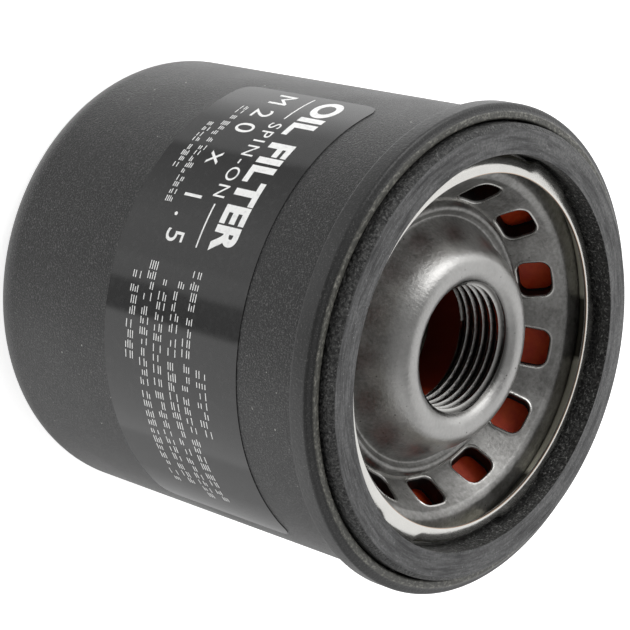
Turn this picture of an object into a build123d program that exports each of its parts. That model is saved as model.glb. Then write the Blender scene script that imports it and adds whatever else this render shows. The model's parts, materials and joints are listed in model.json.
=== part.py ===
from build123d import *
from math import cos, pi, radians, sin
import os

# Spin-on oil filter, standing on its closed end with the threaded end up.
# Origin: centre of the closed end's underside. Z is the axis of the thread. Millimetres.

os.makedirs("parts", exist_ok=True)

# Can and the double seam at its rim
can_radius = 34.15
sheet = 0.40
shoulder_radial = 5.2
shoulder_axial = 6.2
recess_radius = 20.5
recess_depth = 1.2
recess_slope = 2.0
flange_top = 67.65
seam_radius = 35.60
seam_top = 68.40
seam_bottom = 65.40
seam_play = 0.05
seam_round = 0.7
hook_gap = 0.13

# Gasket and its groove in the lid
groove_floor = 65.20
groove_wall = 28.15
gasket_inner = 28.70
gasket_outer = 33.00
gasket_top = 70.20
gasket_edge = 0.6
lip_radius = 25.73
lip_top = 67.95
lug_count = 6
lug_angle = 46.2
lug_width = 19.0
lug_radius = 28.95
lug_low = 66.0
lug_high = 67.3

# Base plate, its threaded boss (M20 x 1.5) and its inlet holes
thread_minor_radius = 9.19
thread_mouth_radius = 9.80
thread_top = 64.65
neck_bottom = 57.20
neck_radius = 11.90
plate_radius = 33.00
plate_thickness = 2.60
plate_top = groove_floor - sheet
plate_bottom = plate_top - plate_thickness
dish_angle = 57.0
inlet_count = 13
inlet_angle = 97.76
inlet_radius = 22.27
inlet_height = 61.08
inlet_width = 5.35
inlet_length = 4.86
inlet_corner = 1.9
trough_bottom = 56.3

# Anti-drain-back valve
valve_bore = 10.2
valve_neck_radius = 12.4
valve_neck_bottom = 50.0
hub_radius = 15.0
hub_top = 55.9
lip_inner = 15.3
lip_outer = 28.8
lip_thickness = 1.1

# Filter element
cap_radius = 29.6
cap_skirt = 4.0
top_cap_top = 53.0
top_cap_hole = 12.55
collar_bottom = 50.6
bottom_cap_base = 14.05
glue_thickness = 1.15
glue_radius = 29.15
tube_inner = 13.05
tube_wall = 0.40
tube_hole_radius = 1.6
tube_hole_columns = 8
tube_hole_rows = 8
pleat_count = 44
pleat_inner = 14.0
pleat_outer = 28.4
paper = 0.6
clip_depth = 5.0
clip_sheet = 0.3

# Bypass valve in the bottom cap
bypass_opening = 7.0
seal_inner = 7.2
seal_outer = 9.6
seal_height = 0.8
poppet_radius = 9.0
poppet_sheet = 0.5
stem_radius = 1.95
stem_bore = 2.0
stem_top = 27.5
cage_inner = 10.3
cage_wall = 0.5
cage_flange_inner = 9.8
cage_flange_outer = 12.8
cage_ceiling = 25.4
cage_window = 12.0
stem_clip_radius = 4.0
stem_clip_bottom = 26.1

# Springs
bypass_wire = 0.9
bypass_coil_radius = 5.4
bypass_pitch = 2.2
element_wire = 2.0
element_coil_radius = 17.0
element_pitch = 3.9
end_play = 0.02

# Label
label_bottom = 26.9
label_top = 53.7
label_thickness = 0.10
label_start = -149.7
label_wrap = 129.7


def radial_plane(angle):
    """Half-section plane at an angle about Z: x is the radius, y is the height."""
    turn = radians(angle)
    return Plane(origin=(0, 0, 0), x_dir=(cos(turn), sin(turn), 0), z_dir=(sin(turn), -cos(turn), 0))


def polar(radius, angle, height=0.0):
    return (radius * cos(radians(angle)), radius * sin(radians(angle)), height)


def ring(inner, outer, bottom, top):
    """Corner points of a rectangular half-section."""
    return [(inner, bottom), (outer, bottom), (outer, top), (inner, top)]


def export(piece, name):
    piece.part.label = name
    export_step(piece.part, f"parts/{name}.step")


# Can: recessed end, elliptical shoulder, straight wall, and a flange hooked outwards into the seam
wall_inner = can_radius - sheet
hook_outer = seam_radius - sheet - seam_play
hook_inner = hook_outer - sheet
hook_bottom = seam_bottom + sheet + 0.5
shoulder_centre = (can_radius - shoulder_radial, shoulder_axial)
with BuildPart() as can:
    with BuildSketch(Plane.XZ):
        with BuildLine():
            Polyline(
                (0, recess_depth),
                (recess_radius, recess_depth),
                (recess_radius + recess_slope, 0),
                (can_radius - shoulder_radial, 0),
            )
            EllipticalCenterArc(shoulder_centre, shoulder_radial, shoulder_axial, 270, arc_size=90)
            Polyline(
                (can_radius, shoulder_axial),
                (can_radius, flange_top - sheet),
                (hook_inner, flange_top - sheet),
                (hook_inner, hook_bottom),
                (hook_outer, hook_bottom),
                (hook_outer, flange_top),
                (wall_inner, flange_top),
                (wall_inner, shoulder_axial),
            )
            EllipticalCenterArc(
                shoulder_centre, shoulder_radial - sheet, shoulder_axial - sheet, 270, arc_size=90
            )
            Polyline(
                (can_radius - shoulder_radial, sheet),
                (recess_radius + recess_slope, sheet),
                (recess_radius, recess_depth + sheet),
                (0, recess_depth + sheet),
                (0, recess_depth),
            )
        make_face()
    revolve(axis=Axis.Z)
export(can, "can")

# Lid: seaming panel and cover hook, chuck wall, gasket groove, inner wall with its rolled lip, and lugs
chuck_outer = wall_inner - seam_play
cover_hook_outer = hook_inner - hook_gap
cover_hook_top = flange_top - sheet - 0.25
wall_bend = 66.4
with BuildPart() as gasket_retainer:
    with BuildSketch(Plane.XZ):
        with BuildLine():
            Polyline(
                (lip_radius, lip_top - sheet),
                (lip_radius, lip_top),
            )
            ThreePointArc((lip_radius, lip_top), (27.45, 67.50), (groove_wall, wall_bend))
            Polyline(
                (groove_wall, wall_bend),
                (groove_wall, groove_floor),
                (chuck_outer - sheet, groove_floor),
                (chuck_outer - sheet, seam_top),
                (seam_radius - seam_round, seam_top),
                (seam_radius, seam_top - seam_round),
                (seam_radius, seam_bottom),
                (cover_hook_outer - sheet, seam_bottom),
                (cover_hook_outer - sheet, cover_hook_top),
                (cover_hook_outer, cover_hook_top),
                (cover_hook_outer, seam_bottom + sheet),
                (seam_radius - sheet, seam_bottom + sheet),
                (seam_radius - sheet, seam_top - sheet),
                (chuck_outer, seam_top - sheet),
                (chuck_outer, groove_floor - sheet),
                (groove_wall - sheet, groove_floor - sheet),
                (groove_wall - sheet, wall_bend),
            )
            ThreePointArc(
                (groove_wall - sheet, wall_bend), (27.16, 67.22), (lip_radius, lip_top - sheet)
            )
        make_face()
    revolve(axis=Axis.Z)
    for number in range(lug_count):
        start = lug_angle + number * 360 / lug_count - lug_width / 2
        with BuildSketch(radial_plane(start)):
            with BuildLine():
                Polyline(
                    (groove_wall - sheet / 2, lug_low - 0.5),
                    (groove_wall, lug_low - 0.5),
                    (lug_radius, lug_low),
                    (lug_radius, lug_high - 0.5),
                    (groove_wall - 0.2, lug_high - 0.2),
                    (groove_wall - sheet / 2 - 0.2, wall_bend),
                    close=True,
                )
            make_face()
        revolve(axis=Axis.Z, revolution_arc=lug_width)
export(gasket_retainer, "gasket_retainer")

# Sealing compound: a thin ring in the crown of the double seam
with BuildPart() as seam_compound:
    with BuildSketch(Plane.XZ):
        with BuildLine():
            Polyline(*ring(wall_inner + 0.25, hook_outer - 0.15, flange_top, seam_top - sheet), close=True)
        make_face()
    revolve(axis=Axis.Z)
export(seam_compound, "seam_compound")

# Gasket: square-cut ring with an eased top edge, dented where the lugs hold it
with BuildPart() as gasket:
    with BuildSketch(Plane.XZ):
        with BuildLine():
            Polyline(
                (gasket_inner, groove_floor),
                (gasket_outer, groove_floor),
                (gasket_outer, gasket_top - gasket_edge),
                (gasket_outer - gasket_edge, gasket_top),
                (gasket_inner, gasket_top),
                close=True,
            )
        make_face()
    revolve(axis=Axis.Z)
    for number in range(lug_count):
        start = lug_angle + number * 360 / lug_count - lug_width / 2 - 0.5
        with BuildSketch(radial_plane(start)):
            with BuildLine():
                Polyline(
                    *ring(gasket_inner - 1, lug_radius + 0.05, lug_low - 0.6, lug_high + 0.1),
                    close=True,
                )
            make_face()
        revolve(axis=Axis.Z, revolution_arc=lug_width + 1.0, mode=Mode.SUBTRACT)
export(gasket, "gasket")

# Base plate: threaded neck, crowned boss, trough, ridge, dished cone with inlet holes, flat flange
with BuildPart() as base_plate:
    with BuildSketch(Plane.XZ):
        with BuildLine():
            Polyline(
                (thread_minor_radius, neck_bottom),
                (thread_minor_radius, thread_top),
                (thread_mouth_radius, thread_top + 0.6),
            )
            Spline(
                (thread_mouth_radius, thread_top + 0.6),
                (12.0, 66.4),
                (14.4, 65.2),
                (15.7, 61.8),
                (18.0, 58.9),
            )
            Polyline(
                (18.0, 58.9),
                (18.8, 59.5),
                (19.5, 59.6),
                (20.3, 59.0),
                (20.9, 58.97),
                (24.3, 64.2),
                (25.2, plate_top),
                (plate_radius, plate_top),
                (plate_radius, plate_bottom),
                (26.1, plate_bottom),
                (22.3, trough_bottom),
                (16.6, trough_bottom),
                (14.6, 57.6),
                (13.2, 60.2),
                (12.4, 62.4),
                (neck_radius, 62.0),
                (neck_radius, neck_bottom),
                (thread_minor_radius, neck_bottom),
            )
        make_face()
    revolve(axis=Axis.Z)
    for number in range(inlet_count):
        angle = inlet_angle + number * 360 / inlet_count
        tilt = radians(dish_angle)
        across = polar(1, angle + 90)
        outward = polar(-sin(tilt), angle, cos(tilt))
        with BuildSketch(Plane(origin=polar(inlet_radius, angle, inlet_height), x_dir=across, z_dir=outward)):
            RectangleRounded(inlet_width, inlet_length, inlet_corner)
        extrude(amount=1.5 * plate_thickness, both=True, mode=Mode.SUBTRACT)
export(base_plate, "base_plate")

# Anti-drain-back valve: clamped hub with its neck, and the conical lip that closes the inlet holes
with BuildPart() as drainback_valve_hub:
    with BuildSketch(Plane.XZ):
        with BuildLine():
            Polyline(
                (valve_bore, valve_neck_bottom),
                (valve_neck_radius, valve_neck_bottom),
                (valve_neck_radius, top_cap_top + seam_play),
                (hub_radius, top_cap_top + seam_play),
                (hub_radius, hub_top),
                (valve_neck_radius, hub_top),
                (valve_neck_radius - 0.6, neck_bottom),
                (valve_bore, neck_bottom),
                close=True,
            )
        make_face()
    revolve(axis=Axis.Z)
export(drainback_valve_hub, "drainback_valve_hub")

with BuildPart() as drainback_valve_lip:
    with BuildSketch(Plane.XZ):
        with BuildLine():
            Polyline(
                (lip_inner, hub_top),
                (22.4, hub_top),
                (27.2, 60.6),
                (28.3, plate_bottom - seam_play),
                (lip_outer, plate_bottom - 0.5),
                (27.9, 59.8),
                (22.9, hub_top - lip_thickness),
                (lip_inner, hub_top - lip_thickness),
                close=True,
            )
        make_face()
    revolve(axis=Axis.Z)
export(drainback_valve_lip, "drainback_valve_lip")

# Element end caps: flat discs with turned skirts; the top one has a collar round the valve's neck
cap_skirt_inner = cap_radius - sheet
with BuildPart() as element_top_cap:
    with BuildSketch(Plane.XZ):
        with BuildLine():
            Polyline(
                (top_cap_hole, collar_bottom),
                (top_cap_hole, top_cap_top),
                (cap_radius, top_cap_top),
                (cap_radius, top_cap_top - sheet - cap_skirt),
                (cap_skirt_inner, top_cap_top - sheet - cap_skirt),
                (cap_skirt_inner, top_cap_top - sheet),
                (top_cap_hole + sheet, top_cap_top - sheet),
                (top_cap_hole + sheet, collar_bottom),
                close=True,
            )
        make_face()
    revolve(axis=Axis.Z)
export(element_top_cap, "element_top_cap")

bottom_cap_top = bottom_cap_base + sheet
with BuildPart() as element_bottom_cap:
    with BuildSketch(Plane.XZ):
        with BuildLine():
            Polyline(
                (bypass_opening, bottom_cap_base),
                (cap_radius, bottom_cap_base),
                (cap_radius, bottom_cap_top + cap_skirt),
                (cap_skirt_inner, bottom_cap_top + cap_skirt),
                (cap_skirt_inner, bottom_cap_top),
                (bypass_opening, bottom_cap_top),
                close=True,
            )
        make_face()
    revolve(axis=Axis.Z)
export(element_bottom_cap, "element_bottom_cap")

# Plastisol rings that pot the pleat ends in the caps
tube_outer = tube_inner + tube_wall
top_glue_bottom = top_cap_top - sheet - glue_thickness
bottom_glue_top = bottom_cap_top + glue_thickness
for name, low in (("top_cap_adhesive", top_glue_bottom), ("bottom_cap_adhesive", bottom_cap_top)):
    with BuildPart() as adhesive:
        with BuildSketch(Plane.XZ):
            with BuildLine():
                Polyline(*ring(tube_outer + seam_play, glue_radius, low, low + glue_thickness), close=True)
            make_face()
        revolve(axis=Axis.Z)
    export(adhesive, name)


def pleat_outline(thickness):
    """Closed zigzag round the axis; a negative thickness gives the paper's inner outline."""
    half_step = pi / pleat_count
    points = []
    for number in range(pleat_count):
        middle = 2 * number * half_step
        for radius, side in ((pleat_inner, -1), (pleat_outer, -1), (pleat_outer, 1), (pleat_inner, 1)):
            tip = radius == pleat_outer
            reach = radius if (thickness > 0) == tip else radius - paper if tip else radius + paper
            turn = middle + side * (half_step / 2 + thickness / 2 / reach)
            points.append((reach * cos(turn), reach * sin(turn)))
    return points


# Pleated paper, and the metal strip crimped over the paper's two joined ends
media_height = top_glue_bottom - bottom_glue_top
with BuildPart() as pleated_media:
    with BuildSketch(Plane.XY.offset(bottom_glue_top)):
        with BuildLine():
            Polyline(*pleat_outline(paper), close=True)
        make_face()
        with BuildLine():
            Polyline(*pleat_outline(-paper), close=True)
        make_face(mode=Mode.SUBTRACT)
    extrude(amount=media_height)
export(pleated_media, "pleated_media")

pleat_tip_half = pleat_outer * pi / pleat_count / 2 + paper / 2
clip_half = pleat_tip_half + 0.02
clip_inner = pleat_outer + 0.02
with BuildPart() as media_seam_clip:
    with BuildSketch(Plane.XY.offset(bottom_glue_top + 0.5)):
        with BuildLine():
            Polyline(
                (clip_inner - clip_depth, clip_half),
                (clip_inner, clip_half),
                (clip_inner, -clip_half),
                (clip_inner - clip_depth, -clip_half),
                (clip_inner - clip_depth, -clip_half - clip_sheet),
                (clip_inner + clip_sheet, -clip_half - clip_sheet),
                (clip_inner + clip_sheet, clip_half + clip_sheet),
                (clip_inner - clip_depth, clip_half + clip_sheet),
                close=True,
            )
        make_face()
    extrude(amount=media_height - 1.0)
export(media_seam_clip, "media_seam_clip")

# Perforated centre tube
tube_bottom = bottom_cap_top
tube_top = top_cap_top - sheet
tube_row_pitch = (tube_top - tube_bottom) / (tube_hole_rows + 1)
with BuildPart() as center_tube:
    with BuildSketch(Plane.XZ):
        with BuildLine():
            Polyline(*ring(tube_inner, tube_outer, tube_bottom, tube_top), close=True)
        make_face()
    revolve(axis=Axis.Z)
    for row in range(tube_hole_rows):
        for column in range(tube_hole_columns):
            angle = (column + row % 2 / 2) * 360 / tube_hole_columns
            place = polar(0, angle, tube_bottom + (row + 1) * tube_row_pitch)
            with BuildSketch(Plane(origin=place, x_dir=polar(1, angle + 90), z_dir=polar(1, angle))):
                Circle(tube_hole_radius)
            extrude(amount=tube_outer + 1, mode=Mode.SUBTRACT)
export(center_tube, "center_tube")

# Bypass valve: seal on the bottom cap, poppet with its stem, caged spring, and the clip on the stem
seal_top = bottom_cap_top + seal_height
with BuildPart() as bypass_seat_seal:
    with BuildSketch(Plane.XZ):
        with BuildLine():
            Polyline(*ring(seal_inner, seal_outer, bottom_cap_top, seal_top), close=True)
        make_face()
    revolve(axis=Axis.Z)
export(bypass_seat_seal, "bypass_seat_seal")

poppet_bottom = seal_top + end_play
poppet_top = poppet_bottom + poppet_sheet
with BuildPart() as bypass_poppet:
    with BuildSketch(Plane.XZ):
        with BuildLine():
            Polyline(
                (0, poppet_bottom),
                (poppet_radius, poppet_bottom),
                (poppet_radius, poppet_top),
                (3.2, poppet_top),
                (3.2, poppet_top + 1.5),
                (stem_radius, poppet_top + 2.5),
                (stem_radius, stem_top - 0.4),
                (stem_radius - 0.4, stem_top),
                (0, stem_top),
                close=True,
            )
        make_face()
    revolve(axis=Axis.Z)
export(bypass_poppet, "bypass_poppet")

cage_outer = cage_inner + cage_wall
cage_top = cage_ceiling + cage_wall
window_height = 7.5
with BuildPart() as bypass_cage:
    with BuildSketch(Plane.XZ):
        with BuildLine():
            Polyline(
                (cage_flange_inner, bottom_cap_top),
                (cage_flange_outer, bottom_cap_top),
                (cage_flange_outer, bottom_cap_top + sheet),
                (cage_outer, bottom_cap_top + sheet),
                (cage_outer, cage_top),
                (stem_bore, cage_top),
                (stem_bore, cage_ceiling),
                (cage_inner, cage_ceiling),
                (cage_inner, bottom_cap_top + sheet),
                (cage_flange_inner, bottom_cap_top + sheet),
                close=True,
            )
        make_face()
    revolve(axis=Axis.Z)
    with BuildSketch(Plane.XY.offset(bottom_cap_top + sheet + 0.8)):
        Rectangle(cage_window, 3 * cage_outer)
        Rectangle(3 * cage_outer, cage_window)
    extrude(amount=window_height, mode=Mode.SUBTRACT)
export(bypass_cage, "bypass_cage")

with BuildPart() as bypass_stem_clip:
    with BuildSketch(Plane.XZ):
        with BuildLine():
            Polyline(
                *ring(stem_radius, stem_clip_radius, stem_clip_bottom, stem_clip_bottom + sheet),
                close=True,
            )
        make_face()
    revolve(axis=Axis.Z)
export(bypass_stem_clip, "bypass_stem_clip")


# Springs: round wire on a helix between two seats
def coil_spring(name, coil_radius, wire, pitch, low, high):
    bottom = low + wire / 2 + end_play
    with BuildPart() as spring:
        with BuildLine(Plane.XY.offset(bottom)):
            path = Helix(pitch=pitch, height=high - low - wire - 2 * end_play, radius=coil_radius)
        with BuildSketch(Plane(origin=path @ 0, z_dir=path % 0)):
            Circle(wire / 2)
        sweep(is_frenet=True)
    export(spring, name)


coil_spring("bypass_spring", bypass_coil_radius, bypass_wire, bypass_pitch, poppet_top, cage_ceiling)
coil_spring(
    "element_spring", element_coil_radius, element_wire, element_pitch, recess_depth + sheet, bottom_cap_base
)

# Label: thin film wrapped round a third of the can
with BuildPart() as label:
    with BuildSketch(radial_plane(label_start)):
        with BuildLine():
            Polyline(*ring(can_radius, can_radius + label_thickness, label_bottom, label_top), close=True)
        make_face()
    revolve(axis=Axis.Z, revolution_arc=label_wrap)
export(label, "label")
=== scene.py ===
import json
import math
import random

import bmesh
import bpy
import numpy as np
from mathutils import Matrix, Vector

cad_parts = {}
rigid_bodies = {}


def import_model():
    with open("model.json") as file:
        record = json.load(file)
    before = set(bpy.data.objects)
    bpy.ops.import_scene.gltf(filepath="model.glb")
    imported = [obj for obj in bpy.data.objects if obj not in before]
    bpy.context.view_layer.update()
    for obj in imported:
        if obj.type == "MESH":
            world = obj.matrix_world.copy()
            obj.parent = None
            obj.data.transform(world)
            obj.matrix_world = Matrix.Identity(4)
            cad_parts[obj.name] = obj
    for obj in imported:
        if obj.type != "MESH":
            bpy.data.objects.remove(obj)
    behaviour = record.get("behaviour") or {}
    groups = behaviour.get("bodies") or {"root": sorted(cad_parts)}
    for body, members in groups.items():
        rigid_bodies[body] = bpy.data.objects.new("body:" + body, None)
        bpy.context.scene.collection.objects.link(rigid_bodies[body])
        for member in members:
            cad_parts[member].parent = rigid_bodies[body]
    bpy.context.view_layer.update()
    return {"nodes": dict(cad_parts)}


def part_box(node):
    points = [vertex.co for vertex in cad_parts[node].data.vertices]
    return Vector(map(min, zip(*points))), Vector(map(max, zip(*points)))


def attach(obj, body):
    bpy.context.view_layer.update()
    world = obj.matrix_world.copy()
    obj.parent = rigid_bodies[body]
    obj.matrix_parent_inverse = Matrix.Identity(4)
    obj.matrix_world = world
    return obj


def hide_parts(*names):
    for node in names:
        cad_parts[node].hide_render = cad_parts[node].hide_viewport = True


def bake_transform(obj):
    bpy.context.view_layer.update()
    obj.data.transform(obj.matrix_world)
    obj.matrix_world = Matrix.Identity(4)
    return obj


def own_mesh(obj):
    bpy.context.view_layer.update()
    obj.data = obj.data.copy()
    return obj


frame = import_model()

# Lengths are in millimetres until a mesh is made; MM turns them into the frame's metres.
MM = 0.001
TAU = 2 * math.pi


def span(node):
    """A CAD node's outer radius, lowest and highest z, in millimetres."""
    low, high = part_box(node)
    return max(-low.x, high.x) / MM, low.z / MM, high.z / MM


# Sizes read from the frame
SEAM_RADIUS, SEAM_BOTTOM, SEAM_TOP = span("gasket_retainer")
GASKET_RADIUS, GROOVE_FLOOR, GASKET_TOP = span("gasket")
PLATE_RADIUS, NECK_BOTTOM, BOSS_TOP = span("base_plate")
LABEL_RADIUS = -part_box("label")[0].y / MM
_, LABEL_BOTTOM, LABEL_TOP = span("label")
CAN_FLANGE_RADIUS, _, CAN_FLANGE_TOP = span("can")
_, VALVE_NECK_BOTTOM, _ = span("drainback_valve_hub")
LIP_RADIUS, _, LIP_TOP = span("drainback_valve_lip")

# Driving sizes the frame's boxes don't show
SHEET = 0.40
FILM = 0.10
CAN_RADIUS = LABEL_RADIUS - FILM
SHOULDER = (5.2, 6.2)
RECESS_RADIUS = 20.5
RECESS_DEPTH = 1.2
ROLL_RADIUS = 25.73
ROLL_TOP = 67.95
GROOVE_WALL = 28.15
PAINT_RADIUS = 33.05
GASKET_INNER = 28.70
LUGS = 6
LUG_ANGLE = 46.2
LUG_HALF = 9.5
LUG_REACH = 0.78
INLETS = 13
INLET_ANGLE = 97.76
INLET_RADIUS = 22.27
INLET_HEIGHT = 61.08
INLET_HALF_WIDTH = 2.675
INLET_HALF_LENGTH = 2.43
INLET_CORNER = 1.40
DISH_ANGLE = math.radians(57)
SLOPE = (math.cos(DISH_ANGLE), math.sin(DISH_ANGLE))
PLATE_THICKNESS = 2.6
THREAD_MINOR = 9.19
THREAD_MAJOR = 10.0
THREAD_PITCH = 1.5
THREAD_MOUTH = 9.8
THREAD_MOUTH_HEIGHT = 65.25
THREAD_HEEL = THREAD_MAJOR + 0.1
LABEL_START = -149.7
LABEL_WRAP = 129.7
LABEL_CORNER = 2.6


# ---- Half-section outlines ----

def rounded(corners, closed=True, step=math.radians(12)):
    """Points of an outline whose corners are (radius, height, fillet)."""
    count = len(corners)
    points = []
    for index, (x, y, fillet) in enumerate(corners):
        here = Vector((x, y))
        if fillet <= 0 or (not closed and index in (0, count - 1)):
            points.append((x, y))
            continue
        before = Vector(corners[index - 1][:2]) - here
        after = Vector(corners[(index + 1) % count][:2]) - here
        to_before, to_after = before.normalized(), after.normalized()
        half = to_before.angle(to_after) / 2
        reach = min(fillet / math.tan(half), 0.48 * before.length, 0.48 * after.length)
        radius = reach * math.tan(half)
        centre = here + (to_before + to_after).normalized() * (radius / math.sin(half))
        first = here + to_before * reach - centre
        last = here + to_after * reach - centre
        turn = first.angle_signed(last)
        steps = max(2, math.ceil(abs(turn) / step))
        for k in range(steps + 1):
            arm = Matrix.Rotation(-turn * k / steps, 2) @ first
            points.append(tuple(centre + arm))
    return points


def spline(points, steps=6):
    """A smooth curve through the points, with its end points kept."""
    padded = [points[0], *points, points[-1]]
    curve = []
    for a, b, c, d in zip(padded, padded[1:], padded[2:], padded[3:]):
        a, b, c, d = (np.array(p, float) for p in (a, b, c, d))
        for k in range(steps):
            t = k / steps
            curve.append(tuple(
                0.5 * ((2 * b) + (c - a) * t + (2 * a - 5 * b + 4 * c - d) * t * t
                       + (3 * b - a - 3 * c + d) * t ** 3)
            ))
    curve.append(tuple(points[-1]))
    return curve


def ellipse_corner(centre, radii, start, steps=24):
    """A quarter ellipse, turning anticlockwise from the start angle in degrees."""
    angles = [math.radians(start + 90 * k / steps) for k in range(steps + 1)]
    return [(centre[0] + radii[0] * math.cos(a), centre[1] + radii[1] * math.sin(a)) for a in angles]


def smoothstep(low, high, value):
    """From 0 at low to 1 at high, levelling off at both."""
    t = np.clip((value - low) / (high - low), 0, 1)
    return t * t * (3 - 2 * t)


# ---- Meshes ----

def shown(name, mesh, material):
    """An object in the scene from a mesh and its only material."""
    mesh.materials.append(material)
    piece = bpy.data.objects.new(name, mesh)
    bpy.context.scene.collection.objects.link(piece)
    return piece


def mesh_piece(name, points, faces, material, sharp=32):
    """An object from points in millimetres, with its doubles merged and its sides facing out."""
    mesh = bpy.data.meshes.new(name)
    mesh.from_pydata([tuple(c * MM for c in p) for p in points], [], faces)
    work = bmesh.new()
    work.from_mesh(mesh)
    bmesh.ops.remove_doubles(work, verts=work.verts, dist=1e-6)
    bmesh.ops.dissolve_degenerate(work, edges=work.edges, dist=1e-7)
    bmesh.ops.recalc_face_normals(work, faces=work.faces)
    for face in work.faces:
        face.smooth = True
    work.to_mesh(mesh)
    work.free()
    mesh.set_sharp_from_angle(angle=math.radians(sharp))
    return shown(name, mesh, material)


def turned_points(outline, turns, warp=None):
    """An outline turned about Z as an array of points, one copy of the outline after another."""
    outline = np.array(outline, float)
    angles = (np.arange(turns) * TAU / turns)[:, None]
    radius = np.broadcast_to(outline[None, :, 0], (turns, len(outline))).copy()
    height = np.broadcast_to(outline[None, :, 1], (turns, len(outline))).copy()
    if warp is not None:
        radius, height = warp(radius, height, angles)
    grid = np.stack([radius * np.cos(angles), radius * np.sin(angles), height], axis=-1)
    return grid.reshape(-1, 3)


def turned_faces(length, turns, closed):
    """Faces between the copies of a turned outline, which is itself open or closed."""
    faces = []
    for i in range(turns):
        a, b = i * length, (i + 1) % turns * length
        for j in range(length if closed else length - 1):
            k = (j + 1) % length
            faces.append((a + j, a + k, b + k, b + j))
    return faces


def turned(name, outline, material, turns=240, warp=None, sharp=32):
    """A closed half-section turned about Z."""
    points = turned_points(outline, turns, warp)
    return mesh_piece(name, points.tolist(), turned_faces(len(outline), turns, True), material, sharp)


def ring_faces(around, rows):
    """Faces between rings of points, each ring closed and as long as the others."""
    faces = []
    for row in range(rows - 1):
        a, b = row * around, (row + 1) * around
        for k in range(around):
            n = (k + 1) % around
            faces.append((a + k, a + n, b + n, b + k))
    return faces


def place(piece, body, *nodes, slot=None):
    """Puts a piece on a body, in the stead of its CAD nodes; the slot argument is not used."""
    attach(piece, body)
    if nodes:
        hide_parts(*nodes)
    return piece


# ---- Material nodes ----

class Nodes:
    """A node tree under construction. A value is a number, a colour or another node's output."""

    def __init__(self, tree):
        self.tree = tree

    def add(self, kind, **settings):
        node = self.tree.nodes.new(kind)
        for key, value in settings.items():
            setattr(node, key, value)
        return node

    def link(self, source, target):
        self.tree.links.new(source, target)

    def set(self, socket, value):
        if hasattr(value, "node"):
            self.link(value, socket)
        else:
            socket.default_value = value

    def math(self, operation, a, b=0.0, c=0.0):
        node = self.add("ShaderNodeMath", operation=operation)
        for socket, value in zip(node.inputs, (a, b, c)):
            self.set(socket, value)
        return node.outputs[0]

    def remap(self, value, low, high, to_low=0.0, to_high=1.0, smooth=False):
        node = self.add("ShaderNodeMapRange")
        node.interpolation_type = "SMOOTHSTEP" if smooth else "LINEAR"
        self.link(value, node.inputs["Value"])
        for key, number in (("From Min", low), ("From Max", high), ("To Min", to_low), ("To Max", to_high)):
            node.inputs[key].default_value = number
        return node.outputs["Result"]

    def mix(self, factor, a, b):
        node = self.add("ShaderNodeMix", data_type="RGBA")
        self.set(node.inputs["Factor"], factor)
        for socket, colour in ((node.inputs[6], a), (node.inputs[7], b)):
            self.set(socket, (*colour, 1.0) if isinstance(colour, tuple) and len(colour) == 3 else colour)
        return node.outputs[2]

    def blend(self, factor, a, b):
        node = self.add("ShaderNodeMix", data_type="FLOAT")
        self.set(node.inputs["Factor"], factor)
        self.set(node.inputs[2], a)
        self.set(node.inputs[3], b)
        return node.outputs[0]


class Shader(Nodes):
    """A material under construction: one Principled BSDF and the nodes that feed it."""

    def __init__(self, name, **values):
        self.material = bpy.data.materials.new(name)
        self.material.use_nodes = True
        super().__init__(self.material.node_tree)
        self.bsdf = self.tree.nodes["Principled BSDF"]
        self.place = self.add("ShaderNodeTexCoord").outputs["Object"]
        for key, value in values.items():
            self.bsdf.inputs[key.replace("_", " ")].default_value = value

    def polar(self, stretch=(1.0, 1.0, 1.0)):
        """Cylinder coordinates: angle, radius and height, each times its stretch."""
        split = self.add("ShaderNodeSeparateXYZ")
        self.link(self.place, split.inputs[0])
        x, y, z = split.outputs
        squares = self.math("ADD", self.math("MULTIPLY", x, x), self.math("MULTIPLY", y, y))
        radius = self.math("SQRT", squares)
        angle = self.math("ARCTAN2", y, x)
        join = self.add("ShaderNodeCombineXYZ")
        for socket, value, factor in zip(join.inputs, (angle, radius, z), stretch):
            self.link(self.math("MULTIPLY", value, factor), socket)
        return join.outputs[0], angle, radius, z

    def noise(self, size, detail=3.0, rough=0.5, vector=None, distort=0.0):
        """Noise whose features are about size metres across, or one unit of a given vector."""
        node = self.add("ShaderNodeTexNoise")
        self.link(vector or self.place, node.inputs["Vector"])
        node.inputs["Scale"].default_value = 1 / size
        node.inputs["Detail"].default_value = detail
        node.inputs["Roughness"].default_value = rough
        node.inputs["Distortion"].default_value = distort
        return node.outputs["Fac"]

    def cells(self, size, feature="F1", vector=None):
        node = self.add("ShaderNodeTexVoronoi", feature=feature)
        self.link(vector or self.place, node.inputs["Vector"])
        node.inputs["Scale"].default_value = 1 / size
        return node.outputs["Distance"]

    def bump(self, *layers):
        """Bump from (height, depth in metres) layers, one on top of the other."""
        normal = None
        for height, depth in layers:
            node = self.add("ShaderNodeBump")
            node.inputs["Distance"].default_value = depth
            self.link(height, node.inputs["Height"])
            if normal is not None:
                self.link(normal, node.inputs["Normal"])
            normal = node.outputs["Normal"]
        self.link(normal, self.bsdf.inputs["Normal"])

    def feed(self, **sockets):
        for key, value in sockets.items():
            self.set(self.bsdf.inputs[key.replace("_", " ")], value)
        return self.material


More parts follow.
